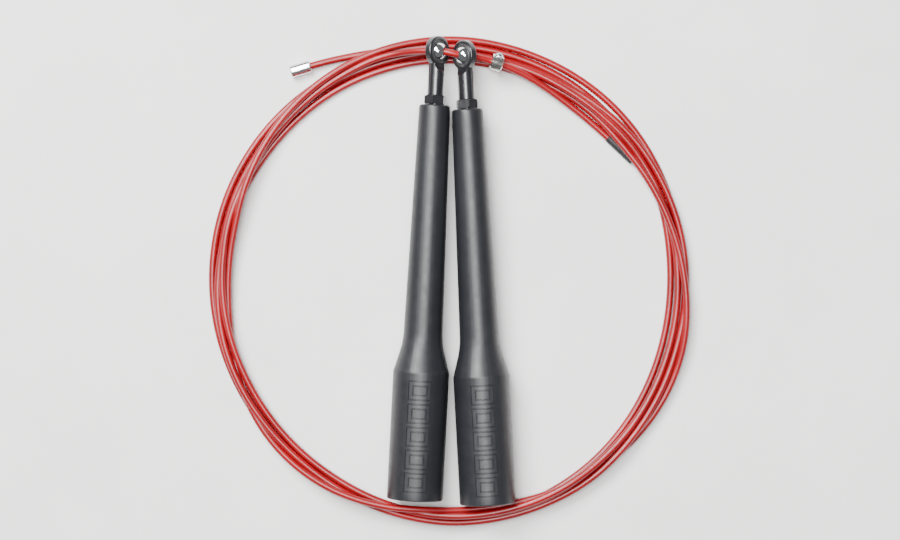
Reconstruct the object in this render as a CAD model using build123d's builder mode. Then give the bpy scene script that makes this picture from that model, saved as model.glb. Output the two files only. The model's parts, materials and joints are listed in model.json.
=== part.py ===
from build123d import *
from math import cos, pi, radians, sin, sqrt, tan
import os

# Ball-joint jump rope, in millimetres.  Both handles lie side by side on the ground, butt ends
# towards -Y, threaded on the same cable, and the cable is wound into a flat coil round them.
# The origin is on the ground, in the middle of the two handles.

# ---- driving dimensions -------------------------------------------------------------------------

# Cable and what is on it
cable_d = 2.6
ferrule_d = 4.75
ferrule_length = 7.9
ferrule_rim = 0.6
ferrule_overhang = 0.4  # the ferrule stands this far past the cut end of the cable
stop_d = 6.0
stop_length = 4.4
stop_edge = 0.35
stop_place = 0.52  # along the run that comes down from the right ball, as a share of it
stop_screw_d = 3.0
stop_screw_rise = 40.0  # degrees that the set screw leans up from the level
stop_screw_reach = 3.75  # from the cable's centre to the screw's outer end
stop_screw_edge = 0.25
screw_foot_gap = 0.06
screw_socket_flats = 1.5
screw_socket_depth = 1.2
cap_d = 3.2
cap_length = 12.8
cap_depth = 9.5  # length of cable inside the cap
cap_end_edge = 0.3
cap_mouth_edge = 0.1
thread_gap = 0.03  # radial gap in a fixed fit, such as a thread or a press fit
run_gap = 0.03  # radial gap in a fit that turns

# Handle, measured along its axis from the centre of the eye
eye_d = 11.2
eye_width = 2.8
eye_round = 0.6
eye_bore_d = 8.4
eye_mouth = 0.25  # chamfer at each end of the eye's bore
ball_d = 7.0
ball_width = 5.6
ball_bore_d = 3.2
ball_mouth = 0.25  # chamfer at each end of the ball's bore
liner_width = 2.2
shank_d = 5.9
shank_edge = 0.2
shank_root = 4.3
flat_end = 4.9  # the eye's faces run on to here, and then curve out to the round shank
shank_shoulder = 7.4
shank_end = 16.5
shank_bore_end = 8.0
collar_flats = 7.2
collar_thickness = 3.2
collar_edge = 0.45
collar_boss_d = 5.1
grip_start = 20.0
grip_front_d = 11.5
grip_front_round = 0.9
taper_end = 104.0
taper_end_d = 14.5
cone_start = 112.0  # the flare is a short hollow curve and then a straight cone
cone_start_d = 16.86
flare_end = 119.0
barrel_d = 20.8
butt = 166.2
butt_round = 0.5
tail_bore_d = 9.0
tail_bore_cone = 3.0  # length over which the tail bore opens into the barrel bore
barrel_bore_start = 124.0
barrel_bore_d = 14.0
plug_flange_d = 16.4
plug_flange_thickness = 1.6
plug_depth = 9.0
plug_edge = 0.4
plug_lead_in = 0.8
plug_wall = 1.8

# Miniature ball bearings, one at the front of the grip and one further in
bearing_bore_d = 4.0
bearing_outside_d = 8.0
bearing_width = 3.0
bearing_balls = 7
bearing_ball_d = 1.2
bearing_land = 0.35  # from the middle of the ball circle to each ring's land
cage_thickness = 0.26
cage_width = 1.9
front_bearing = grip_start + 0.3
rear_bearing = 50.0
seat_land = 0.1  # the rear bearing's seat is this much deeper than the bearing
seat_chamfer = 0.3
spindle_start_gap = 0.3  # from the bottom of the shank's bore
spindle_edge = 0.3
spindle_end = 58.5
spacer_gap = 0.1  # radial gap between the spindle and what is threaded on it
washer_thickness = 0.5
washer_edge = 0.1
nut_flats = 7.0
nut_height = 4.0
nut_hex_share = 0.7  # of the nut's height; the rest is its locking collar
nut_edge = 0.4

# How the handles lie: the centre of each eye, its splay from -Y and how far its face looks up
sides = {
    "left": {"hand": -1, "eye": Vector(-5.2, 80.75, 11.4), "splay": 2.9, "face_rise": 41.0},
    "right": {"hand": 1, "eye": Vector(4.8, 79.2, 11.4), "splay": 3.0, "face_rise": 40.0},
}

# How the cable passes through the two balls, as its heading in plan and its slope, in degrees
threading = {"left": (-4.0, 14.0), "right": (-5.0, -15.0)}
threading_lead_in = {"left": (6.8, 3.4), "right": (3.4, 6.2)}  # run before and after each ball

# The coil: a flat bundle of turns, as (direction from its centre, inner radius, outer radius)
coil_centre = (-0.92, -4.42)
coil_height = 5.2
coil_edge_round = 1.2
coil_outline = [
    (0, 81.6, 89.7),
    (22, 83.2, 89.0),
    (42, 83.7, 90.4),
    (62, 82.8, 91.2),
    (80, 83.2, 91.4),
    (100, 81.7, 91.3),
    (125, 81.8, 90.0),
    (155, 82.6, 90.2),
    (185, 81.6, 89.8),
    (210, 82.8, 88.9),
    (228, 83.2, 91.0),
    (250, 84.9, 89.6),
    (270, 85.8, 91.4),
    (295, 88.0, 91.8),
    (330, 83.6, 92.6),
]

# Derived sizes
cable_radius = cable_d / 2
shank_radius = shank_d / 2
ball_radius = ball_d / 2
race_radius = ball_radius + run_gap
spindle_radius = bearing_bore_d / 2 - thread_gap
ball_circle_radius = (bearing_bore_d + bearing_outside_d) / 4
groove_radius = bearing_ball_d / 2 + run_gap
spacer_bore_radius = bearing_bore_d / 2 + spacer_gap
collar_end = shank_end + collar_thickness
handle_dip = radians(0.345)  # the butt lies this much lower than the eye


# ---- places -------------------------------------------------------------------------------------


def handle_axis(side):
    """Direction of a handle, from its eye towards its butt."""
    splay = radians(sides[side]["splay"])
    level = Vector(sides[side]["hand"] * sin(splay), -cos(splay), 0) * cos(handle_dip)
    return level - Vector(0, 0, sin(handle_dip))


def eye_normal(side):
    """Direction that the eye's face looks: towards the other handle and up."""
    along = handle_axis(side)
    inward = along.cross(Vector(0, 0, 1)).normalized() * sides[side]["hand"]
    upward = inward.cross(along).normalized() * sides[side]["hand"]
    rise = radians(sides[side]["face_rise"])
    return inward * cos(rise) + upward * sin(rise)


def handle_section(side):
    """Plane through the handle's axis: local X runs down the handle, local Y is the radius."""
    return Plane(origin=sides[side]["eye"], x_dir=handle_axis(side), z_dir=eye_normal(side))


def edge_on(side):
    """Plane through the handle's axis, square to the eye's faces: local X runs down the handle."""
    along = handle_axis(side)
    return Plane(origin=sides[side]["eye"], x_dir=along, z_dir=eye_normal(side).cross(along))


def across_handle(side, distance):
    """Plane square to the handle at a distance from the eye's centre."""
    origin = sides[side]["eye"] + handle_axis(side) * distance
    return Plane(origin=origin, x_dir=eye_normal(side), z_dir=handle_axis(side))


def cable_direction(side):
    """Direction of the cable through a ball, from left to right."""
    heading, slope = (radians(angle) for angle in threading[side])
    return Vector(cos(slope) * cos(heading), cos(slope) * sin(heading), sin(slope))


def on_cable(side, distance):
    return sides[side]["eye"] + cable_direction(side) * distance


def section_along(origin, along):
    """Plane through a line: local X runs along it, local Y is the radius of a turned piece."""
    level = along.cross(Vector(0, 0, 1)).normalized()
    return Plane(origin=origin, x_dir=along, z_dir=level)


# ---- shared shapes ------------------------------------------------------------------------------


def turned(section, outline):
    """A solid turned about the section's local X axis, from points (along, radius)."""
    with BuildPart() as piece:
        with BuildSketch(section):
            with BuildLine():
                Polyline(*outline, close=True)
            make_face()
        revolve(axis=Axis(section.origin, section.x_dir))
    return piece.part


def tube_outline(start, end, inner, outer, edge=0.15):
    """Half section of a tube with its outer edges broken."""
    return [
        (start, inner),
        (start, outer - edge),
        (start + edge, outer),
        (end - edge, outer),
        (end, outer - edge),
        (end, inner),
    ]


def corner_radii(route):
    """Each bend of a cable route is as large as its two runs allow."""
    radii = []
    for before, corner, after in zip(route, route[1:], route[2:]):
        arriving = Vector(*corner) - Vector(*before)
        leaving = Vector(*after) - Vector(*corner)
        half_turn = radians(arriving.get_angle(leaving)) / 2
        shorter_run = min(arriving.length, leaving.length)
        radii.append(0.45 * shorter_run / tan(half_turn))
    return radii


def cable_along(name, route):
    """A length of cable along straight runs joined by tangent arcs."""
    radii = corner_radii(route)
    with BuildPart() as cable:
        with BuildLine() as path:
            centreline = FilletPolyline(*route, radius=radii)
        with BuildSketch(Plane(origin=centreline @ 0, z_dir=centreline % 0)):
            Circle(cable_radius)
        sweep()
    length = centreline.length
    expected = pi * cable_radius**2 * length
    print(name, "length", round(length, 1), "bend radii", [round(radius, 1) for radius in radii])
    print(name, "volume over section times length", round(cable.part.volume / expected, 4))
    return cable.part


# ---- handle -------------------------------------------------------------------------------------


def make_grip(side):
    """Tapered shell with a flared barrel, bored for the two bearings and hollow behind them."""
    front_radius = grip_front_d / 2
    taper_radius = taper_end_d / 2
    barrel_radius = barrel_d / 2
    cone_radius = cone_start_d / 2
    taper_start = (grip_start + grip_front_round, front_radius)
    seat_radius = bearing_outside_d / 2 + thread_gap
    front_seat_end = front_bearing + bearing_width
    rear_seat_end = rear_bearing + bearing_width + seat_land
    neck_radius = ball_circle_radius + bearing_land
    tail_radius = tail_bore_d / 2
    plug_seat = plug_flange_d / 2
    plug_seat_start = butt - plug_flange_thickness
    section = handle_section(side)
    with BuildPart() as grip:
        with BuildSketch(section):
            with BuildLine():
                Line((grip_start, seat_radius), (grip_start, front_radius - grip_front_round))
                TangentArc(
                    (grip_start, front_radius - grip_front_round),
                    taper_start,
                    tangent=(0, 1),
                )
                taper = Line(taper_start, (taper_end, taper_radius))
                TangentArc((taper_end, taper_radius), (cone_start, cone_radius), tangent=taper % 1)
                Polyline(
                    (cone_start, cone_radius),
                    (flare_end, barrel_radius),
                    (butt - butt_round, barrel_radius),
                )
                TangentArc(
                    (butt - butt_round, barrel_radius),
                    (butt, barrel_radius - butt_round),
                    tangent=(1, 0),
                )
                Polyline(
                    (butt, barrel_radius - butt_round),
                    (butt, plug_seat),
                    (plug_seat_start, plug_seat),
                    (plug_seat_start, barrel_bore_d / 2),
                    (barrel_bore_start, barrel_bore_d / 2),
                    (barrel_bore_start - tail_bore_cone, tail_radius),
                    (rear_seat_end + seat_chamfer, tail_radius),
                    (rear_seat_end, seat_radius),
                    (rear_bearing, seat_radius),
                    (rear_bearing, neck_radius),
                    (front_seat_end, neck_radius),
                    (front_seat_end, seat_radius),
                    (grip_start, seat_radius),
                )
            make_face()
        revolve(axis=Axis(section.origin, section.x_dir))
    return grip.part


def make_end_plug(side):
    """Flanged plug that closes the butt, hollow from inside."""
    flange = plug_flange_d / 2 - thread_gap
    spigot = barrel_bore_d / 2 - thread_gap
    flange_start = butt - plug_flange_thickness + thread_gap
    foot = butt - plug_depth
    floor = flange_start - plug_edge
    outline = [
        (butt, 0),
        (butt, flange - plug_edge),
        (butt - plug_edge, flange),
        (flange_start, flange),
        (flange_start, spigot),
        (foot + plug_lead_in, spigot),
        (foot, spigot - plug_lead_in),
        (foot, spigot - plug_wall),
        (floor, spigot - plug_wall),
        (floor, 0),
    ]
    return turned(handle_section(side), outline)


def make_rod_end(side):
    """Eye with a bored shank; the eye's flat faces run out into the round shank."""
    section = handle_section(side)
    shank_bore = bearing_bore_d / 2
    half = eye_width / 2
    clear = shank_radius + shank_edge  # just outside the shank
    with BuildPart() as rod_end:
        with BuildSketch(section):
            with BuildLine():
                Polyline(
                    (shank_root, 0),
                    (shank_root, shank_radius),
                    (shank_end - shank_edge, shank_radius),
                    (shank_end, shank_radius - shank_edge),
                    (shank_end, 0),
                    close=True,
                )
            make_face()
        revolve(axis=Axis(section.origin, section.x_dir))
        for face in (1, -1):
            with BuildSketch(edge_on(side)):
                with BuildLine():
                    Line((shank_root, face * half), (flat_end, face * half))
                    TangentArc(
                        (flat_end, face * half),
                        (shank_shoulder, face * shank_radius),
                        tangent=(1, 0),
                    )
                    Polyline(
                        (shank_shoulder, face * shank_radius),
                        (shank_shoulder, face * clear),
                        (shank_root, face * clear),
                        (shank_root, face * half),
                    )
                make_face()
            extrude(amount=clear, both=True, mode=Mode.SUBTRACT)
        with BuildPart(section) as ring:
            Cylinder(eye_d / 2, eye_width)
            fillet(ring.edges().filter_by(GeomType.CIRCLE), radius=eye_round)
        with BuildSketch(section):
            Circle(eye_bore_d / 2)
        extrude(amount=eye_width, both=True, mode=Mode.SUBTRACT)
        bore_edges = rod_end.edges().filter_by(GeomType.CIRCLE)
        bore_edges = [edge for edge in bore_edges if abs(edge.radius - eye_bore_d / 2) < eye_mouth / 2]
        chamfer(bore_edges, length=eye_mouth)
        with BuildSketch(across_handle(side, shank_bore_end)):
            Circle(shank_bore)
        extrude(amount=shank_end, mode=Mode.SUBTRACT)
    return rod_end.part


def make_race_liner(side):
    """Ring in the eye with a hollow ball-shaped bore."""
    half = liner_width / 2
    lip = sqrt(race_radius**2 - half**2)
    outer = eye_bore_d / 2 - thread_gap
    section = Plane(
        origin=sides[side]["eye"], x_dir=eye_normal(side), z_dir=handle_axis(side)
    )
    with BuildPart() as liner:
        with BuildSketch(section):
            with BuildLine():
                ThreePointArc((-half, lip), (0, race_radius), (half, lip))
                Polyline((half, lip), (half, outer), (-half, outer), (-half, lip))
            make_face()
        revolve(axis=Axis(section.origin, section.x_dir))
    return liner.part


def make_swivel_ball(side):
    """Ball with two flats and a bore that the cable runs through."""
    half = ball_width / 2
    flat_radius = sqrt(ball_radius**2 - half**2)
    bore = ball_bore_d / 2
    section = section_along(sides[side]["eye"], cable_direction(side))
    with BuildPart() as ball:
        with BuildSketch(section):
            with BuildLine():
                ThreePointArc((-half, flat_radius), (0, ball_radius), (half, flat_radius))
                Polyline(
                    (half, flat_radius),
                    (half, bore + ball_mouth),
                    (half - ball_mouth, bore),
                    (ball_mouth - half, bore),
                    (-half, bore + ball_mouth),
                    (-half, flat_radius),
                )
            make_face()
        revolve(axis=Axis(section.origin, section.x_dir))
    return ball.part


def make_hex_collar(side):
    """Jam nut with a boss that bears on the front bearing's inner ring."""
    corner = collar_flats / sqrt(3)
    section = handle_section(side)
    with BuildPart() as collar:
        with BuildSketch(across_handle(side, shank_end)):
            RegularPolygon(collar_flats / 2, 6, major_radius=False)
        extrude(amount=collar_thickness)
        with BuildSketch(section):
            with BuildLine():
                Polyline(*tube_outline(shank_end, collar_end, 0, corner, collar_edge), close=True)
            make_face()
        revolve(axis=Axis(section.origin, section.x_dir), mode=Mode.INTERSECT)
        with BuildSketch(across_handle(side, collar_end)):
            Circle(collar_boss_d / 2)
        extrude(amount=front_bearing - collar_end)
        with BuildSketch(across_handle(side, shank_end)):
            Circle(bearing_bore_d / 2)
        extrude(amount=front_bearing - shank_end, mode=Mode.SUBTRACT)
    return collar.part


def make_spindle(side):
    start = shank_bore_end + spindle_start_gap
    outline = tube_outline(start, spindle_end, 0, spindle_radius, spindle_edge)
    return turned(handle_section(side), outline)


def make_spacer(side):
    start = front_bearing + bearing_width
    outline = tube_outline(start, rear_bearing, spacer_bore_radius, collar_boss_d / 2)
    return turned(handle_section(side), outline)


def make_washer(side):
    start = rear_bearing + bearing_width
    end = start + washer_thickness
    outline = tube_outline(start, end, spacer_bore_radius, collar_boss_d / 2, washer_edge)
    return turned(handle_section(side), outline)


def make_lock_nut(side):
    """Hexagon nut with a round locking collar."""
    start = rear_bearing + bearing_width + washer_thickness
    hex_height = nut_height * nut_hex_share
    corner = nut_flats / sqrt(3)
    section = handle_section(side)
    with BuildPart() as nut:
        with BuildSketch(across_handle(side, start)):
            RegularPolygon(nut_flats / 2, 6, major_radius=False)
        extrude(amount=hex_height)
        with BuildSketch(section):
            with BuildLine():
                Polyline(*tube_outline(start, start + hex_height, 0, corner, nut_edge), close=True)
            make_face()
        revolve(axis=Axis(section.origin, section.x_dir), mode=Mode.INTERSECT)
        with BuildSketch(across_handle(side, start + hex_height)):
            Circle(nut_flats / 2 - nut_edge)
        extrude(amount=nut_height - hex_height)
        with BuildSketch(across_handle(side, start)):
            Circle(bearing_bore_d / 2)
        extrude(amount=nut_height, mode=Mode.SUBTRACT)
    return nut.part


def make_bearing_ring(side, start, inner, outer):
    """Inner or outer ring of a bearing, grooved for the balls."""
    middle = start + bearing_width / 2
    section = handle_section(side)
    with BuildPart() as ring:
        with BuildSketch(section):
            with BuildLine():
                Polyline(
                    (start, inner),
                    (start, outer),
                    (start + bearing_width, outer),
                    (start + bearing_width, inner),
                    close=True,
                )
            make_face()
            with Locations((middle, ball_circle_radius)):
                Circle(groove_radius, mode=Mode.SUBTRACT)
        revolve(axis=Axis(section.origin, section.x_dir))
    return ring.part


def make_bearing_balls(side, start):
    with BuildPart(across_handle(side, start + bearing_width / 2)) as balls:
        with PolarLocations(ball_circle_radius, bearing_balls):
            Sphere(bearing_ball_d / 2)
    return balls.part


def make_bearing_cage(side, start):
    """Thin ring between the balls, with a pocket for each."""
    inner = ball_circle_radius - cage_thickness / 2
    pocket = bearing_ball_d / 2 + 2 * run_gap
    with BuildPart(across_handle(side, start + bearing_width / 2)) as cage:
        Cylinder(inner + cage_thickness, cage_width)
        Cylinder(inner, cage_width, mode=Mode.SUBTRACT)
        with PolarLocations(ball_circle_radius, bearing_balls):
            Cylinder(pocket, bearing_ball_d, rotation=(0, 90, 0), mode=Mode.SUBTRACT)
    return cage.part


def make_handle(side):
    """Every piece of one handle, by name."""
    inner_ring = (bearing_bore_d / 2, ball_circle_radius - bearing_land)
    outer_ring = (ball_circle_radius + bearing_land, bearing_outside_d / 2)
    pieces = {
        "grip": make_grip(side),
        "end_plug": make_end_plug(side),
        "rod_end": make_rod_end(side),
        "race_liner": make_race_liner(side),
        "swivel_ball": make_swivel_ball(side),
        "hex_collar": make_hex_collar(side),
        "spindle": make_spindle(side),
        "bearing_spacer": make_spacer(side),
        "washer": make_washer(side),
        "lock_nut": make_lock_nut(side),
    }
    for place, start in (("front", front_bearing), ("rear", rear_bearing)):
        pieces[place + "_inner_ring"] = make_bearing_ring(side, start, *inner_ring)
        pieces[place + "_outer_ring"] = make_bearing_ring(side, start, *outer_ring)
        pieces[place + "_balls"] = make_bearing_balls(side, start)
        pieces[place + "_cage"] = make_bearing_cage(side, start)
    return {side + "_" + name: piece for name, piece in pieces.items()}


# ---- cable and what is on it --------------------------------------------------------------------

before_left, after_left = threading_lead_in["left"]
before_right, after_right = threading_lead_in["right"]

# From the coil up through both balls, over the coil with the adjustable stop, and down inside it
# to the end cap
run_route = [
    (-30.3, 78.2, 3.9),
    (-21.0, 80.5, 4.8),
    tuple(on_cable("left", -before_left)),
    tuple(on_cable("left", after_left)),
    tuple(on_cable("right", -before_right)),
    tuple(on_cable("right", after_right)),
    (22.1, 75.0, 7.2),
    (31.4, 70.3, 5.2),
    (40.3, 64.3, 3.4),
    (53.7, 54.0, 1.9),
    (65.6, 42.75, 1.7),
]

# From inside the end ferrule to the outside of the coil
lead_route = [
    (-59.9, 73.9, 2.4),
    (-50.0, 77.0, 2.1),
    (-38.2, 79.7, 1.45),
    (-28.0, 81.4, 1.35),
]


def make_coil():
    """The wound turns as one flat ring, as wide and as uneven as they lie."""

    def loop(column):
        points = []
        for row in coil_outline:
            direction = radians(row[0])
            x = coil_centre[0] + row[column] * cos(direction)
            y = coil_centre[1] + row[column] * sin(direction)
            points.append((x, y))
        return points

    with BuildPart() as coil:
        with BuildSketch():
            with BuildLine():
                Spline(*loop(2), periodic=True)
            make_face()
            with BuildLine():
                Spline(*loop(1), periodic=True)
            make_face(mode=Mode.SUBTRACT)
        extrude(amount=coil_height)
        fillet(coil.edges().group_by(Axis.Z)[-1], coil_edge_round)
    return coil.part


def make_ferrule():
    """Crimped tube on the free end, with rounded rims and the cable inside."""
    cable_end = Vector(*lead_route[0])
    section = section_along(cable_end, Vector(*lead_route[1]) - cable_end)
    start = -ferrule_overhang
    end = start + ferrule_length
    outer = ferrule_d / 2
    bore = cable_radius + thread_gap
    with BuildPart() as ferrule:
        with BuildSketch(section):
            with BuildLine():
                Line((start, bore), (start, outer - ferrule_rim))
                TangentArc((start, outer - ferrule_rim), (start + ferrule_rim, outer), tangent=(0, 1))
                Line((start + ferrule_rim, outer), (end - ferrule_rim, outer))
                TangentArc((end - ferrule_rim, outer), (end, outer - ferrule_rim), tangent=(1, 0))
                Polyline((end, outer - ferrule_rim), (end, bore), (start, bore))
            make_face()
        revolve(axis=Axis(section.origin, section.x_dir))
    return ferrule.part


past_right_ball = Vector(*run_route[5])
stop_run = Vector(*run_route[6]) - past_right_ball
stop_section = section_along(past_right_ball, stop_run)
stop_middle = stop_run.length * stop_place
stop_centre = stop_section.origin + stop_section.x_dir * stop_middle
screw_rise = radians(stop_screw_rise)
outward = stop_section.z_dir * -1
upward = stop_section.x_dir.cross(outward)
screw_direction = outward * cos(screw_rise) + upward * sin(screw_rise)
screw_foot = cable_radius + screw_foot_gap


def make_stop():
    """Collar that grips the cable, with a threaded hole across it for the set screw."""
    start = stop_middle - stop_length / 2
    end = start + stop_length
    outline = tube_outline(start, end, cable_radius + thread_gap, stop_d / 2, stop_edge)
    with BuildPart() as stop:
        add(turned(stop_section, outline))
        with BuildSketch(Plane(origin=stop_centre, z_dir=screw_direction)):
            Circle(stop_screw_d / 2 + thread_gap)
        extrude(amount=stop_d, mode=Mode.SUBTRACT)
    return stop.part


def make_stop_screw():
    """Grub screw with a hexagon socket, its foot on the cable."""
    foot = Plane(origin=stop_centre + screw_direction * screw_foot, z_dir=screw_direction)
    length = stop_screw_reach - screw_foot
    with BuildPart() as screw:
        with BuildSketch(foot):
            Circle(stop_screw_d / 2)
        extrude(amount=length)
        chamfer(screw.edges().filter_by(GeomType.CIRCLE), length=stop_screw_edge)
        with BuildSketch(foot.offset(length)):
            RegularPolygon(screw_socket_flats / 2, 6, major_radius=False)
        extrude(amount=-screw_socket_depth, mode=Mode.SUBTRACT)
    return screw.part


def make_cap():
    """Soft cap over the cut end of the tail."""
    cable_end = Vector(*run_route[-1])
    section = section_along(cable_end, Vector(*run_route[-2]) - cable_end)
    closed_end = -(cap_length - cap_depth)
    bore = cable_radius + thread_gap
    outline = [
        (closed_end, 0),
        (closed_end, cap_d / 2 - cap_end_edge),
        (closed_end + cap_end_edge, cap_d / 2),
        (cap_depth - cap_mouth_edge, cap_d / 2),
        (cap_depth, cap_d / 2 - cap_mouth_edge),
        (cap_depth, bore),
        (-thread_gap, bore),
        (-thread_gap, 0),
    ]
    return turned(section, outline)


# ---- write the pieces ---------------------------------------------------------------------------

nodes = {
    "cable_coil": make_coil(),
    "cable_run": cable_along("cable_run", run_route),
    "cable_lead": cable_along("cable_lead", lead_route),
    "end_ferrule": make_ferrule(),
    "adjustable_stop": make_stop(),
    "stop_screw": make_stop_screw(),
    "end_cap": make_cap(),
}
for side in sides:
    nodes.update(make_handle(side))

os.makedirs("parts", exist_ok=True)
for name, piece in nodes.items():
    piece.label = name
    export_step(piece, "parts/" + name + ".step")
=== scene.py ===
import json
from math import atan2, cos, degrees, hypot, pi, radians, sin, sqrt, tau

import bmesh
import bpy
import numpy as np
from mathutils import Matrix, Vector


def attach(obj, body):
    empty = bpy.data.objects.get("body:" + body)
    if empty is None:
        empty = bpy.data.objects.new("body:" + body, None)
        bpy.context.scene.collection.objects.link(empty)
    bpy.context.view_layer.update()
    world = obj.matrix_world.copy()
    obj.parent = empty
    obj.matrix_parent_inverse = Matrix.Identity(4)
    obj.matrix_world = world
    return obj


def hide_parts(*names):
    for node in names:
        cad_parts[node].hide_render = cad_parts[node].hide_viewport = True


# Jump rope: two ball-joint handles threaded on one coated cable, which is wound into a flat coil.
# Lengths are in millimetres up to the point where a mesh or a curve is made, and metres there.

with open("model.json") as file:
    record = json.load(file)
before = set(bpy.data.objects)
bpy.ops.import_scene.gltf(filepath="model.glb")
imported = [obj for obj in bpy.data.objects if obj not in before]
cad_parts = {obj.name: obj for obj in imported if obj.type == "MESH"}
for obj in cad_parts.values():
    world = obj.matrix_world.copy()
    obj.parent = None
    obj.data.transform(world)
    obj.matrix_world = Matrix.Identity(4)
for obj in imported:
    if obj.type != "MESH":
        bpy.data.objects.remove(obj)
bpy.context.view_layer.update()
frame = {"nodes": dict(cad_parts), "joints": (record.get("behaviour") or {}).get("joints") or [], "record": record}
nodes = frame["nodes"]
joints = {joint["name"]: joint for joint in frame["joints"]}
MM = 0.001
SIDES = ("left", "right")
NOISE_LOW, NOISE_HIGH = 0.3, 0.7  # where most of a noise texture's values lie


# ---- materials ----------------------------------------------------------------------------------


class Shader:
    """A node material, built a step at a time round one Principled shader."""

    def __init__(self, name, **sockets):
        self.material = bpy.data.materials.new(name)
        self.material.use_nodes = True
        self.tree = self.material.node_tree
        self.bsdf = self.tree.nodes["Principled BSDF"]
        self.place = self.add("ShaderNodeTexCoord").outputs["Object"]
        for socket, value in sockets.items():
            self.bsdf.inputs[socket.replace("_", " ")].default_value = value

    def add(self, kind, **settings):
        node = self.tree.nodes.new(kind)
        for key, value in settings.items():
            setattr(node, key, value)
        return node

    def link(self, source, target):
        self.tree.links.new(source, target)

    def noise(self, scale, detail, roughness=0.55, stretch=None):
        """Noise over the object's own coordinates; stretch squeezes it along each axis."""
        node = self.add("ShaderNodeTexNoise")
        node.inputs["Scale"].default_value = scale
        node.inputs["Detail"].default_value = detail
        node.inputs["Roughness"].default_value = roughness
        place = self.place
        if stretch:
            mapping = self.add("ShaderNodeMapping")
            mapping.inputs["Scale"].default_value = stretch
            self.link(place, mapping.inputs["Vector"])
            place = mapping.outputs["Vector"]
        self.link(place, node.inputs["Vector"])
        return node.outputs["Fac"]

    def ramp(self, value, stops):
        """Colours or greys at places along a 0 to 1 value."""
        node = self.add("ShaderNodeValToRGB")
        self.link(value, node.inputs["Fac"])
        points = node.color_ramp.elements
        while len(points) < len(stops):
            points.new(0.5)
        for point, (place, colour) in zip(points, stops):
            point.position = place
            channels = colour if isinstance(colour, tuple) else (colour, colour, colour)
            point.color = (*channels, 1.0)
        return node.outputs["Color"]

    def blotches(self, noise, dark, light):
        """A colour that drifts from dark to light with the noise."""
        return self.ramp(noise, ((NOISE_LOW, dark), (NOISE_HIGH, light)))

    def spread(self, noise, low, high):
        """The usual range of a noise mapped to low to high."""
        node = self.add("ShaderNodeMapRange")
        node.inputs["From Min"].default_value = NOISE_LOW
        node.inputs["From Max"].default_value = NOISE_HIGH
        node.inputs["To Min"].default_value = low
        node.inputs["To Max"].default_value = high
        self.link(noise, node.inputs["Value"])
        return node.outputs["Result"]

    def bump(self, height, strength, distance):
        """Adds one layer of relief, in metres, on top of those already there."""
        node = self.add("ShaderNodeBump")
        node.inputs["Strength"].default_value = strength
        node.inputs["Distance"].default_value = distance
        self.link(height, node.inputs["Height"])
        normal = self.bsdf.inputs["Normal"]
        if normal.links:
            self.link(normal.links[0].from_socket, node.inputs["Normal"])
        self.link(node.outputs["Normal"], normal)

    def edge_wear(self, colour, worn, sharpness=0.04):
        """Mixes in a worn colour where the surface turns outward sharply."""
        pointy = self.add("ShaderNodeNewGeometry").outputs["Pointiness"]
        mask = self.ramp(pointy, ((0.5 + sharpness, 0.0), (0.5 + 3 * sharpness, 1.0)))
        patchy = self.ramp(self.noise(900, 6), ((0.42, 0.0), (0.6, 1.0)))
        both = self.add("ShaderNodeMath", operation="MULTIPLY")
        self.link(mask, both.inputs[0])
        self.link(patchy, both.inputs[1])
        mix = self.add("ShaderNodeMix", data_type="RGBA")
        self.link(both.outputs[0], mix.inputs["Factor"])
        self.link(colour, mix.inputs["A"])
        mix.inputs["B"].default_value = (*worn, 1.0)
        return mix.outputs["Result"]


def red_coating():
    """Glossy vinyl over a steel cable, a little uneven in thickness and handled smooth."""
    shader = Shader("red_coating", IOR=1.45, Coat_Weight=0.15, Coat_Roughness=0.2)
    reds = (
        (NOISE_LOW, (0.200, 0.0012, 0.0035)),
        (0.5, (0.245, 0.0016, 0.0045)),
        (NOISE_HIGH, (0.290, 0.003, 0.006)),
    )
    red = shader.ramp(shader.noise(60, 3), reds)
    shader.link(red, shader.bsdf.inputs["Base Color"])
    shader.link(shader.spread(shader.noise(700, 5), 0.32, 0.44), shader.bsdf.inputs["Roughness"])
    shader.bump(shader.noise(1100, 4), 0.12, 0.00005)
    shader.bump(shader.noise(180, 2), 0.10, 0.0002)
    return shader.material


def moulded_nylon(name, dark, light, rough_low, rough_high):
    """Black moulded plastic with a fine spark-eroded grain."""
    shader = Shader(name, IOR=1.5)
    colour = shader.blotches(shader.noise(45, 4), dark, light)
    worn = tuple(channel * 2.2 for channel in light)
    shader.link(shader.edge_wear(colour, worn), shader.bsdf.inputs["Base Color"])
    rough = shader.spread(shader.noise(320, 5), rough_low, rough_high)
    shader.link(rough, shader.bsdf.inputs["Roughness"])
    shader.bump(shader.noise(3200, 3, 0.6), 0.30, 0.00006)
    shader.bump(shader.noise(90, 3), 0.06, 0.0004)
    return shader.material


def black_oxide():
    """Blackened steel, satin under a thin film of oil."""
    shader = Shader("black_steel", IOR=1.6, Metallic=0.3, Coat_Weight=0.5, Coat_Roughness=0.14)
    colour = shader.blotches(
        shader.noise(260, 5), (0.010, 0.010, 0.012), (0.016, 0.016, 0.020)
    )
    shader.link(colour, shader.bsdf.inputs["Base Color"])
    shader.link(shader.spread(shader.noise(800, 6), 0.26, 0.36), shader.bsdf.inputs["Roughness"])
    shader.bump(shader.noise(2400, 4), 0.06, 0.00003)
    return shader.material


def bright_metal(name, dark, light, rough_low, rough_high, grain=(1, 1, 1), depth=0.1):
    """Bare or plated metal; grain stretches its fine scratches, and depth is their strength."""
    shader = Shader(name, Metallic=1.0, IOR=2.0)
    colour = shader.blotches(shader.noise(400, 5), dark, light)
    shader.link(colour, shader.bsdf.inputs["Base Color"])
    scratches = shader.noise(1500, 6, 0.65, stretch=grain)
    rough = shader.spread(scratches, rough_low, rough_high)
    shader.link(rough, shader.bsdf.inputs["Roughness"])
    shader.bump(scratches, depth, 0.00003)
    return shader.material


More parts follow.
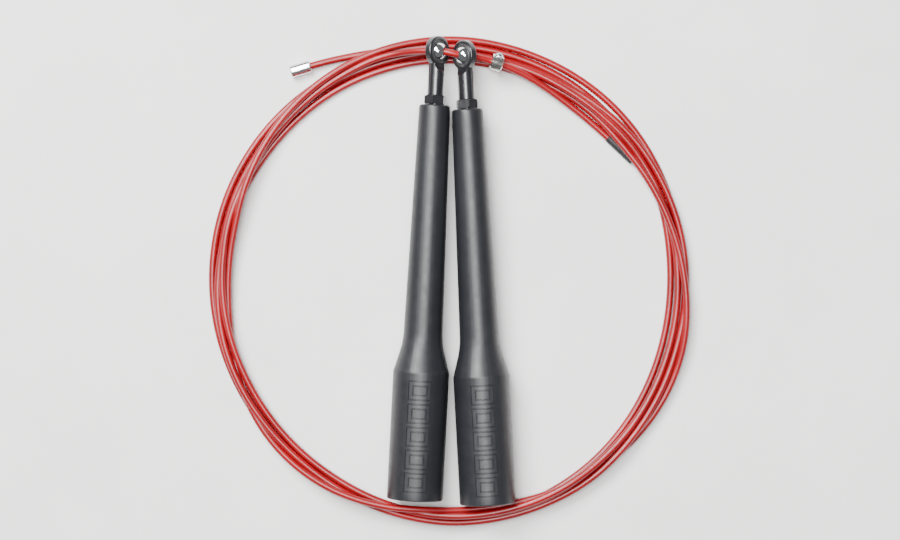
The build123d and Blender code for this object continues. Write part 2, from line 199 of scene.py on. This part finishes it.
def soft_rubber():
    """Matt black shrink sleeve."""
    shader = Shader("black_rubber", IOR=1.45)
    colour = shader.blotches(shader.noise(500, 5), (0.008, 0.008, 0.009), (0.02, 0.02, 0.022))
    shader.link(colour, shader.bsdf.inputs["Base Color"])
    shader.link(shader.spread(shader.noise(900, 5), 0.45, 0.65), shader.bsdf.inputs["Roughness"])
    shader.bump(shader.noise(1600, 4), 0.3, 0.00008)
    return shader.material


# Scratches run along the handles on turned parts, and along the cable on the parts crimped to it
ALONG_Y = (1.0, 0.06, 1.0)

# slot: darkest and lightest colour, least and greatest roughness, and for a metal its grain
NYLONS = {
    "grip_nylon": ((0.0085, 0.009, 0.0115), (0.013, 0.014, 0.017), 0.38, 0.48),
    "plug_nylon": ((0.012, 0.012, 0.013), (0.020, 0.020, 0.022), 0.45, 0.60),
    "liner_plastic": ((0.015, 0.015, 0.016), (0.03, 0.03, 0.03), 0.4, 0.55),
}
METALS = {
    "bright_ferrule": ((0.78, 0.79, 0.80), (0.90, 0.91, 0.92), 0.16, 0.34, (0.2, 1, 1), 0.2),
    "plated_stop": ((0.74, 0.73, 0.69), (0.88, 0.87, 0.83), 0.14, 0.30, (0.3, 1, 1), 0.15),
    "screw_steel": ((0.50, 0.52, 0.54), (0.70, 0.72, 0.74), 0.18, 0.36),
    "polished_ball": ((0.84, 0.86, 0.88), (0.93, 0.94, 0.95), 0.04, 0.12),
    "turned_steel": ((0.5, 0.51, 0.52), (0.66, 0.67, 0.68), 0.2, 0.36, ALONG_Y),
    "spacer_aluminium": ((0.72, 0.73, 0.74), (0.82, 0.83, 0.84), 0.22, 0.38, ALONG_Y),
    "bearing_steel": ((0.62, 0.63, 0.64), (0.76, 0.77, 0.78), 0.10, 0.2),
    "cage_brass": ((0.66, 0.46, 0.18), (0.80, 0.60, 0.30), 0.2, 0.34),
}
MATERIALS = {
    "red_coating": red_coating(),
    "black_rubber": soft_rubber(),
    "black_steel": black_oxide(),
    **{slot: moulded_nylon(slot, *look) for slot, look in NYLONS.items()},
    **{slot: bright_metal(slot, *look) for slot, look in METALS.items()},
}

for part in frame["record"]["subparts"]:
    mesh = nodes[part["node"]].data
    mesh.materials.clear()
    mesh.materials.append(MATERIALS[part["material_slot"]])


# ---- shared mesh work ---------------------------------------------------------------------------

SHARP_EDGE = radians(28)  # a steeper edge stays sharp
ROUND_STEPS = 6


def finished(mesh, name, slot, body):
    """An object of this mesh, smooth except at sharp edges, with its material, riding on a body."""
    mesh.materials.append(MATERIALS[slot])
    mesh.shade_smooth()
    mesh.set_sharp_from_angle(angle=SHARP_EDGE)
    piece = bpy.data.objects.new(name, mesh)
    bpy.context.scene.collection.objects.link(piece)
    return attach(piece, body)


def turned_mesh(name, outline, place, angles, sink):
    """A closed mesh turned from a closed outline of (along, radius) points.

    place(along, radius, angle) gives a point in metres, and sink(along, radius, angle) says how
    far the surface is pressed in there."""
    mesh = bpy.data.meshes.new(name)
    work = bmesh.new()
    rings = []
    for along, radius in outline:
        sunk = [radius - sink(along, radius, angle) for angle in angles]
        rings.append([work.verts.new(place(along, r, angle)) for r, angle in zip(sunk, angles)])
    for ring, following in zip(rings, rings[1:] + rings[:1]):
        for i in range(len(angles)):
            j = (i + 1) % len(angles)
            work.faces.new([ring[i], ring[j], following[j], following[i]])
    bmesh.ops.recalc_face_normals(work, faces=work.faces)
    work.to_mesh(mesh)
    work.free()
    return mesh


def quarter_round(centre_along, centre_radius, radius, start, end):
    """Points of an arc in a turned outline, angles in degrees from the axis."""
    points = []
    for step in range(ROUND_STEPS + 1):
        angle = radians(start + (end - start) * step / ROUND_STEPS)
        points.append((centre_along + radius * cos(angle), centre_radius + radius * sin(angle)))
    return points


# ---- handles ------------------------------------------------------------------------------------

# Places along a handle are distances from the centre of its eye
GRIP_START = 20.0
GRIP_FRONT_RADIUS = 5.75
GRIP_FRONT_ROUND = 0.9
TAPER_END = 104.0
TAPER_END_RADIUS = 7.25
TAPER_SLOPE = 0.018
CONE_START = 112.0
CONE_START_RADIUS = 8.43
FLARE_END = 119.0
BARREL_RADIUS = 10.4
BUTT = 166.2
BUTT_ROUND = 0.5
SEAT_RADIUS = 4.03
NECK_RADIUS = 3.35
FRONT_SEAT_END = 23.5
REAR_SEAT = 50.0
REAR_SEAT_END = 53.1
TAIL_BORE_RADIUS = 4.5
TAIL_BORE_END = 121.0
BARREL_BORE_START = 124.0
BARREL_BORE_RADIUS = 7.0
PLUG_SEAT_RADIUS = 8.2
PLUG_SEAT_START = 164.6
TAPER_STEPS = 30
FLARE_STEPS = 30

# A row of plain squares, one outline inside another, is pressed into the upward side of each barrel
SQUARE_COUNT = 5
SQUARE_START = 121.8
SQUARE_PITCH = 8.45
SQUARE_LENGTH = 7.3
SQUARE_HALF_WIDTH = 4.4
GROOVE_DEPTH = 0.26
GROOVE_STEPS = (0.0, 0.13, 0.36, 0.5, 1.7, 1.83, 2.06, 2.2)  # from a square's edge inwards
GROOVE_SHARES = (0, 1, 1, 0, 0, 1, 1, 0)  # of the depth, at each of those steps
INNER_ANGLES = 3  # between straight up and the innermost groove
OUTER_ANGLES = 34  # between the outermost groove and straight down


def flare_radius(along):
    """Radius on the flare: a short hollow curve and then a straight cone."""
    if along < CONE_START:
        run = CONE_START - TAPER_END
        bend = (CONE_START_RADIUS - TAPER_END_RADIUS - TAPER_SLOPE * run) / run**2
        distance = along - TAPER_END
        return TAPER_END_RADIUS + TAPER_SLOPE * distance + bend * distance**2
    share = (along - CONE_START) / (FLARE_END - CONE_START)
    return CONE_START_RADIUS + (BARREL_RADIUS - CONE_START_RADIUS) * share


def barrel_rows():
    """Distances along the barrel: close together at the grooves, wider in between."""
    rows = [FLARE_END + 0.4, FLARE_END + 1.6]
    for square in range(SQUARE_COUNT):
        start = SQUARE_START + square * SQUARE_PITCH
        rows += [start + step for step in GROOVE_STEPS]
        rows.append(start + SQUARE_LENGTH / 2)
        rows += [start + SQUARE_LENGTH - step for step in reversed(GROOVE_STEPS)]
    return rows


def barrel_angles():
    """Angles round the handle, from straight up: close together at the grooves."""
    groove = [degrees((SQUARE_HALF_WIDTH - step) / BARREL_RADIUS) for step in GROOVE_STEPS]
    inner = [groove[-1] * step / INNER_ANGLES for step in range(INNER_ANGLES)]
    rest = 180 - groove[0]
    outer = [groove[0] + rest * step / OUTER_ANGLES for step in range(1, OUTER_ANGLES + 1)]
    half = sorted(inner + groove + outer)
    return [radians(angle) for angle in half + [-angle for angle in reversed(half[1:-1])]]


def groove_sink(along, radius, angle):
    """How deep the outline of the nearest square is pressed in."""
    if radius < BARREL_RADIUS - 0.01 or not SQUARE_START <= along <= BUTT:
        return 0
    square = min(SQUARE_COUNT - 1, int((along - SQUARE_START) / SQUARE_PITCH + 0.001))
    start = SQUARE_START + square * SQUARE_PITCH
    across = SQUARE_HALF_WIDTH - abs((angle + pi) % tau - pi) * BARREL_RADIUS
    inside = min(along - start, start + SQUARE_LENGTH - along, across)
    return GROOVE_DEPTH * float(np.interp(inside, GROOVE_STEPS, GROOVE_SHARES, left=0, right=0))


def grip_outline():
    """Half section of the grip, from its front face round the outside and back through the bore."""
    front = GRIP_START + GRIP_FRONT_ROUND
    outline = quarter_round(front, GRIP_FRONT_RADIUS - GRIP_FRONT_ROUND, GRIP_FRONT_ROUND, 180, 90)
    for step in range(1, TAPER_STEPS):
        share = step / TAPER_STEPS
        along = front + (TAPER_END - front) * share
        outline.append((along, GRIP_FRONT_RADIUS + (TAPER_END_RADIUS - GRIP_FRONT_RADIUS) * share))
    for step in range(FLARE_STEPS + 1):
        along = TAPER_END + (FLARE_END - TAPER_END) * step / FLARE_STEPS
        outline.append((along, flare_radius(along)))
    outline += [(along, BARREL_RADIUS) for along in barrel_rows()]
    outline += quarter_round(BUTT - BUTT_ROUND, BARREL_RADIUS - BUTT_ROUND, BUTT_ROUND, 90, 0)
    outline += [
        (BUTT, PLUG_SEAT_RADIUS),
        (PLUG_SEAT_START, PLUG_SEAT_RADIUS),
        (PLUG_SEAT_START, BARREL_BORE_RADIUS),
        (BARREL_BORE_START, BARREL_BORE_RADIUS),
        (TAIL_BORE_END, TAIL_BORE_RADIUS),
        (REAR_SEAT_END, TAIL_BORE_RADIUS),
        (REAR_SEAT_END, SEAT_RADIUS),
        (REAR_SEAT, SEAT_RADIUS),
        (REAR_SEAT, NECK_RADIUS),
        (FRONT_SEAT_END, NECK_RADIUS),
        (FRONT_SEAT_END, SEAT_RADIUS),
        (GRIP_START, SEAT_RADIUS),
    ]
    return outline


def handle_place(side):
    """A function from (distance from the eye, radius, angle from straight up) to a point."""
    eye = Vector(joints[side + "_turn"]["pos_m"])
    along = Vector(joints[side + "_spin"]["axis"]).normalized()
    up = (Vector((0, 0, 1)) - along * along.z).normalized()
    across = along.cross(up)

    def place(distance, radius, angle):
        outward = up * cos(angle) + across * sin(angle)
        return eye + (along * distance + outward * radius) * MM

    return place


def make_grip(side):
    """Tapered grip with a flared barrel, bored through."""
    name = side + "_grip_shell"
    mesh = turned_mesh(name, grip_outline(), handle_place(side), barrel_angles(), groove_sink)
    grip = finished(mesh, name, "grip_nylon", side + "_handle")
    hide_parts(side + "_grip")


for side in SIDES:
    make_grip(side)


# ---- cable --------------------------------------------------------------------------------------

CABLE = 2.6  # outside the coating
COIL_CENTRE = (-0.92, -4.42)
STATION = 7.5  # degrees from one control point of the coil to the next
STATIONS = round(360 / STATION)

# From inside the end ferrule to the outside of the coil
LEAD_ROUTE = [
    (-59.9, 73.9, 2.4),
    (-50.0, 77.0, 2.1),
    (-38.2, 79.7, 1.45),
    (-28.0, 81.4, 1.35),
]

# From the coil up through both balls, over the coil with the adjustable stop, and down inside it
# to the end cap
RUN_ROUTE = [
    (-30.3, 78.2, 3.9),
    (-21.0, 80.5, 4.8),
    (-11.78, 81.21, 9.755),
    (-1.91, 80.52, 12.22),
    (1.53, 79.485, 12.28),
    (10.765, 78.68, 9.795),
    (22.1, 75.0, 7.2),
    (31.4, 70.3, 5.2),
    (40.3, 64.3, 3.4),
    (53.7, 54.0, 1.9),
    (65.6, 42.75, 1.7),
]
ARRIVAL = RUN_ROUTE[:3]  # before the balls
TAIL = RUN_ROUTE[-6:-2]  # after the balls, on top of the coil
CAP_END = RUN_ROUTE[-3:]  # into the end cap, which lies under the coil's inner edge

# Five turns, clockwise from above: (bearing clockwise from +Y, radius, layer from the ground up)
TURNS = [
    [
        (-6, 88.4, 1), (7, 87.9, 1), (20, 87.3, 1), (33, 86.9, 1), (45, 86.3, 1), (60, 86.0, 1),
        (70, 84.8, 1), (80, 83.2, 1), (95, 82.9, 1), (110, 83.5, 1), (127, 85.1, 1),
        (140, 86.6, 1), (152, 87.9, 1), (165, 88.6, 1), (180, 88.8, 1), (195, 87.9, 1),
        (210, 86.6, 1), (225, 85.7, 1), (250, 85.8, 1), (265, 86.3, 1), (300, 86.5, 1),
        (320, 86.0, 1), (340, 85.8, 1),
    ],
    [
        (-6, 85.8, 1), (20, 85.2, 1), (33, 84.9, 1), (42, 86.0, 2), (60, 87.4, 2),
        (75, 88.4, 2), (88, 88.8, 2), (110, 89.0, 2), (125, 89.4, 2), (138, 90.2, 2),
        (160, 90.5, 2), (175, 90.1, 2), (193, 88.7, 2), (207, 87.4, 2), (222, 86.9, 2),
        (240, 87.1, 3), (250, 87.4, 3), (267, 86.9, 2), (280, 85.7, 2), (290, 84.6, 1),
        (302, 83.3, 1), (340, 83.2, 1),
    ],
    [
        (-6, 83.2, 1), (10, 83.0, 1), (20, 82.5, 1), (33, 81.9, 1), (50, 82.6, 2),
        (60, 83.2, 2.5), (68, 84.1, 3), (77, 85.5, 4), (85, 87.0, 4), (95, 88.9, 4),
        (103, 90.6, 2), (110, 91.5, 1), (120, 91.9, 1), (130, 91.4, 1), (140, 90.2, 1.2),
        (153, 88.2, 1.5), (167, 86.1, 1.2), (180, 85.5, 2), (190, 86.3, 4), (200, 88.0, 4),
        (210, 89.4, 4), (218, 89.9, 3), (230, 89.4, 2), (241, 87.9, 2), (249, 85.7, 2),
        (256, 83.7, 1.6), (264, 82.7, 1), (277, 82.4, 1), (287, 82.9, 2), (297, 84.4, 3),
        (310, 86.3, 4), (320, 87.9, 4), (330, 88.9, 4), (342, 90.1, 3), (350, 90.5, 2),
    ],
    [
        (-6, 90.6, 1), (7, 90.4, 1), (45, 90.1, 1), (60, 89.0, 1), (73, 88.2, 1), (90, 87.2, 1),
        (110, 87.7, 1), (125, 88.3, 1), (140, 89.1, 2), (160, 89.3, 2), (180, 88.5, 2),
        (195, 87.2, 1.5), (210, 87.4, 1), (230, 88.1, 1), (253, 88.6, 1), (280, 89.1, 1),
        (320, 89.0, 1), (332, 88.4, 1), (342, 87.6, 1),
    ],
    [
        (-6, 86.1, 2), (7, 84.6, 2), (20, 83.8, 2), (33, 83.7, 2), (45, 84.2, 2), (60, 85.0, 2),
        (68, 85.5, 2), (80, 85.6, 1.5), (92, 85.7, 1.5), (110, 86.2, 2), (128, 87.2, 3),
        (153, 88.1, 3), (165, 88.1, 3), (180, 87.4, 3), (195, 86.3, 3), (207, 85.2, 2),
        (220, 84.5, 1.2), (236, 84.0, 2), (246, 84.0, 3), (258, 84.4, 3), (270, 84.8, 2),
        (290, 84.5, 2), (305, 84.9, 2), (322, 85.9, 2), (334, 87.1, 2),
    ],
]  # fmt: skip
FIRST_BEARING = -7.5
LAST_BEARING = 4 * 360 + 330

SETTLING_ROUNDS = 250
CLOSING_ROUNDS = 12  # at the end, when only overlaps are cleared
LAYER_RISE = 2.2
APART = CABLE * 1.015  # from the middle of one strand to the next
FULL_LAYER = 0.3  # a larger difference in layer says which strand lies on top
SINKING = 0.03  # by a strand's weight, in a round
LEVELLING = 0.35  # by its stiffness, in a round
HOLD = 0.9  # of its shift sideways that a strand keeps, in a round
LARGEST_LIFT = 0.6  # in a round
FIXED_PUSH = 0.7  # of the overlap with a fixed stretch, cleared in a round
TOUCHING = 1e-6


def keyed(column):
    """The bearings of the coil's stations, and the turns' radius or layer at each."""
    keys = [(360 * turn + key[0], key[column]) for turn, keys in enumerate(TURNS) for key in keys]
    bearings = np.arange(FIRST_BEARING, LAST_BEARING + STATION / 2, STATION)
    return bearings, np.interp(bearings, *zip(*keys))


def evened(values, share):
    """Each value moved a share of the way to the mean of its two neighbours."""
    result = values.copy()
    result[1:-1] += share * ((values[:-2] + values[2:]) / 2 - values[1:-1])
    return result


def passing(route, layer):
    """Where a fixed stretch of cable passes each station: {station: (radius, height, layer)}."""
    rows = []
    for x, y, z in route:
        east, north = x - COIL_CENTRE[0], y - COIL_CENTRE[1]
        rows.append((degrees(atan2(east, north)), hypot(east, north), z))
    bearings, radii, heights = zip(*sorted(rows))
    crossed = {}
    first = int(np.ceil(bearings[0] / STATION))
    last = int(np.floor(bearings[-1] / STATION))
    for station in range(first, last + 1):
        bearing = station * STATION
        radius = float(np.interp(bearing, bearings, radii))
        height = float(np.interp(bearing, bearings, heights))
        crossed.setdefault(station % STATIONS, []).append((radius, height, layer))
    return crossed


class Coil:
    """The turns as strands that lie on the ground and on each other, station by station."""

    def __init__(self):
        self.bearings, radii = keyed(1)
        self.key = evened(evened(radii, 0.5), 0.5)
        self.radius = self.key.copy()
        self.layer = evened(keyed(2)[1], 0.5)
        self.height = CABLE / 2 + (self.layer - 1) * LAYER_RISE
        stations = np.round(self.bearings / STATION).astype(int) % STATIONS
        self.groups = [np.flatnonzero(stations == station) for station in range(STATIONS)]
        self.fixed = {}
        for route, layer in ((LEAD_ROUTE, 1), (ARRIVAL, 5), (TAIL, 5), (CAP_END, 0)):
            for station, passes in passing(route, layer).items():
                self.fixed.setdefault(station, []).extend(passes)

    def relax(self):
        """Bending stiffness evens each strand out, and its weight lowers it a little."""
        self.height = evened(self.height, LEVELLING) - SINKING
        self.radius = self.key + evened(self.radius - self.key, 0.5) * HOLD

    def part(self, a, b):
        """Two strands at one station are moved apart, a little more of the way each round."""
        if self.layer[a] < self.layer[b]:
            a, b = b, a
        across = self.radius[a] - self.radius[b]
        rise = self.height[a] - self.height[b]
        distance = max(hypot(across, rise), TOUCHING)
        if abs(across) >= APART:
            return
        stacked = self.layer[a] - self.layer[b] >= FULL_LAYER
        if stacked and rise < 0:
            lift = min(sqrt(APART**2 - across**2) - rise, LARGEST_LIFT)
            self.height[a] += lift * 0.6
            self.height[b] -= lift * 0.4
        elif distance < APART:
            lack = APART - distance
            sideways = 0.1 if stacked else 0.3
            self.radius[a] += across / distance * lack * sideways
            self.radius[b] -= across / distance * lack * sideways
            upward = 1 / max(rise / distance, 0.5) if stacked else rise / distance
            self.height[a] += upward * lack * 0.5
            self.height[b] -= upward * lack * 0.25 if stacked else upward * lack * 0.5

    def clear_fixed(self, strand, radius, height, layer):
        """A strand is moved off a stretch of cable that stays where it is."""
        across = self.radius[strand] - radius
        rise = self.height[strand] - height
        distance = max(hypot(across, rise), TOUCHING)
        if distance >= APART:
            return
        upward = 1 if self.layer[strand] > layer else -1
        if rise * upward < 0:
            self.height[strand] += LARGEST_LIFT * upward
            return
        push = (APART - distance) * FIXED_PUSH
        self.radius[strand] += across / distance * push
        self.height[strand] += rise / distance * push

    def settle(self):
        """Rounds of sinking and evening, and of parting the strands that overlap."""
        for settling_round in range(SETTLING_ROUNDS):
            if settling_round < SETTLING_ROUNDS - CLOSING_ROUNDS:
                self.relax()
            self.height = np.maximum(self.height, CABLE / 2)
            for station, group in enumerate(self.groups):
                for i, a in enumerate(group):
                    for b in group[i + 1 :]:
                        self.part(a, b)
                    for passes in self.fixed.get(station, ()):
                        self.clear_fixed(a, *passes)
        self.height = np.maximum(self.height, CABLE / 2)

    def points(self):
        """The strands' middles, in order along the cable."""
        for bearing, radius, height in zip(self.bearings, self.radius, self.height):
            angle = radians(bearing)
            x = COIL_CENTRE[0] + radius * sin(angle)
            y = COIL_CENTRE[1] + radius * cos(angle)
            yield (float(x), float(y), float(height))


def make_cable():
    """The whole cable as one smooth line, bevelled to its diameter."""
    coil = Coil()
    coil.settle()
    route = LEAD_ROUTE + list(coil.points()) + RUN_ROUTE
    curve = bpy.data.curves.new("coated_cable", "CURVE")
    curve.dimensions = "3D"
    curve.resolution_u = 4
    curve.bevel_depth = CABLE / 2 * MM
    curve.bevel_resolution = 5
    curve.use_fill_caps = True
    line = curve.splines.new("NURBS")
    line.points.add(len(route) - 1)
    for point, (x, y, z) in zip(line.points, route):
        point.co = (x * MM, y * MM, z * MM, 1)
    line.order_u = 3
    line.use_endpoint_u = True
    curve.materials.append(MATERIALS["red_coating"])
    cable = bpy.data.objects.new("coated_cable", curve)
    bpy.context.scene.collection.objects.link(cable)
    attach(cable, "cable")
    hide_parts("cable_coil", "cable_run", "cable_lead")


make_cable()


# ---- floor, light and camera --------------------------------------------------------------------

CAMERA = (-0.55, -0.3, 850.0)
VIEW_WIDTH = 337.8  # of the ground, from one side of the view to the other
SENSOR = 36.0
FLOOR_SIZE = 4.0  # in metres, as are the lights' places and sizes


def make_floor():
    """Plain pale concrete."""
    mesh = bpy.data.meshes.new("floor")
    work = bmesh.new()
    bmesh.ops.create_grid(work, x_segments=8, y_segments=8, size=FLOOR_SIZE / 2)
    work.to_mesh(mesh)
    work.free()
    floor = bpy.data.objects.new("floor", mesh)
    bpy.context.scene.collection.objects.link(floor)
    shader = Shader("floor", Roughness=0.85)
    grey = shader.blotches(shader.noise(9, 8, 0.62), (0.80, 0.80, 0.79), (0.90, 0.90, 0.89))
    shader.link(grey, shader.bsdf.inputs["Base Color"])
    shader.bump(shader.noise(400, 6, 0.7), 0.15, 0.0004)
    mesh.materials.append(shader.material)


def make_light(name, place, size, power):
    """A soft box that faces the origin."""
    data = bpy.data.lights.new(name, "AREA")
    data.shape = "RECTANGLE"
    data.size, data.size_y = size
    data.energy = power
    light = bpy.data.objects.new(name, data)
    bpy.context.scene.collection.objects.link(light)
    light.location = place
    light.rotation_euler = (-Vector(place)).to_track_quat("-Z", "Y").to_euler()


def make_camera():
    """Straight above the coil, looking down."""
    data = bpy.data.cameras.new("camera")
    data.sensor_width = SENSOR
    data.lens = CAMERA[2] * SENSOR / VIEW_WIDTH
    data.clip_start = 0.01
    camera = bpy.data.objects.new("camera", data)
    camera.location = Vector(CAMERA) * MM
    bpy.context.scene.collection.objects.link(camera)
    bpy.context.scene.camera = camera


def make_world():
    """Even white light from all round."""
    world = bpy.data.worlds.new("studio")
    world.use_nodes = True
    background = world.node_tree.nodes["Background"]
    background.inputs["Color"].default_value = (1.0, 1.0, 1.0, 1.0)
    background.inputs["Strength"].default_value = 0.16
    bpy.context.scene.world = world


make_floor()
make_world()
make_light("key_light", (-0.45, 0.6, 1.0), (0.6, 0.5), 34)
make_light("top_light", (-0.1, 0.1, 1.4), (0.4, 0.8), 30)
make_camera()
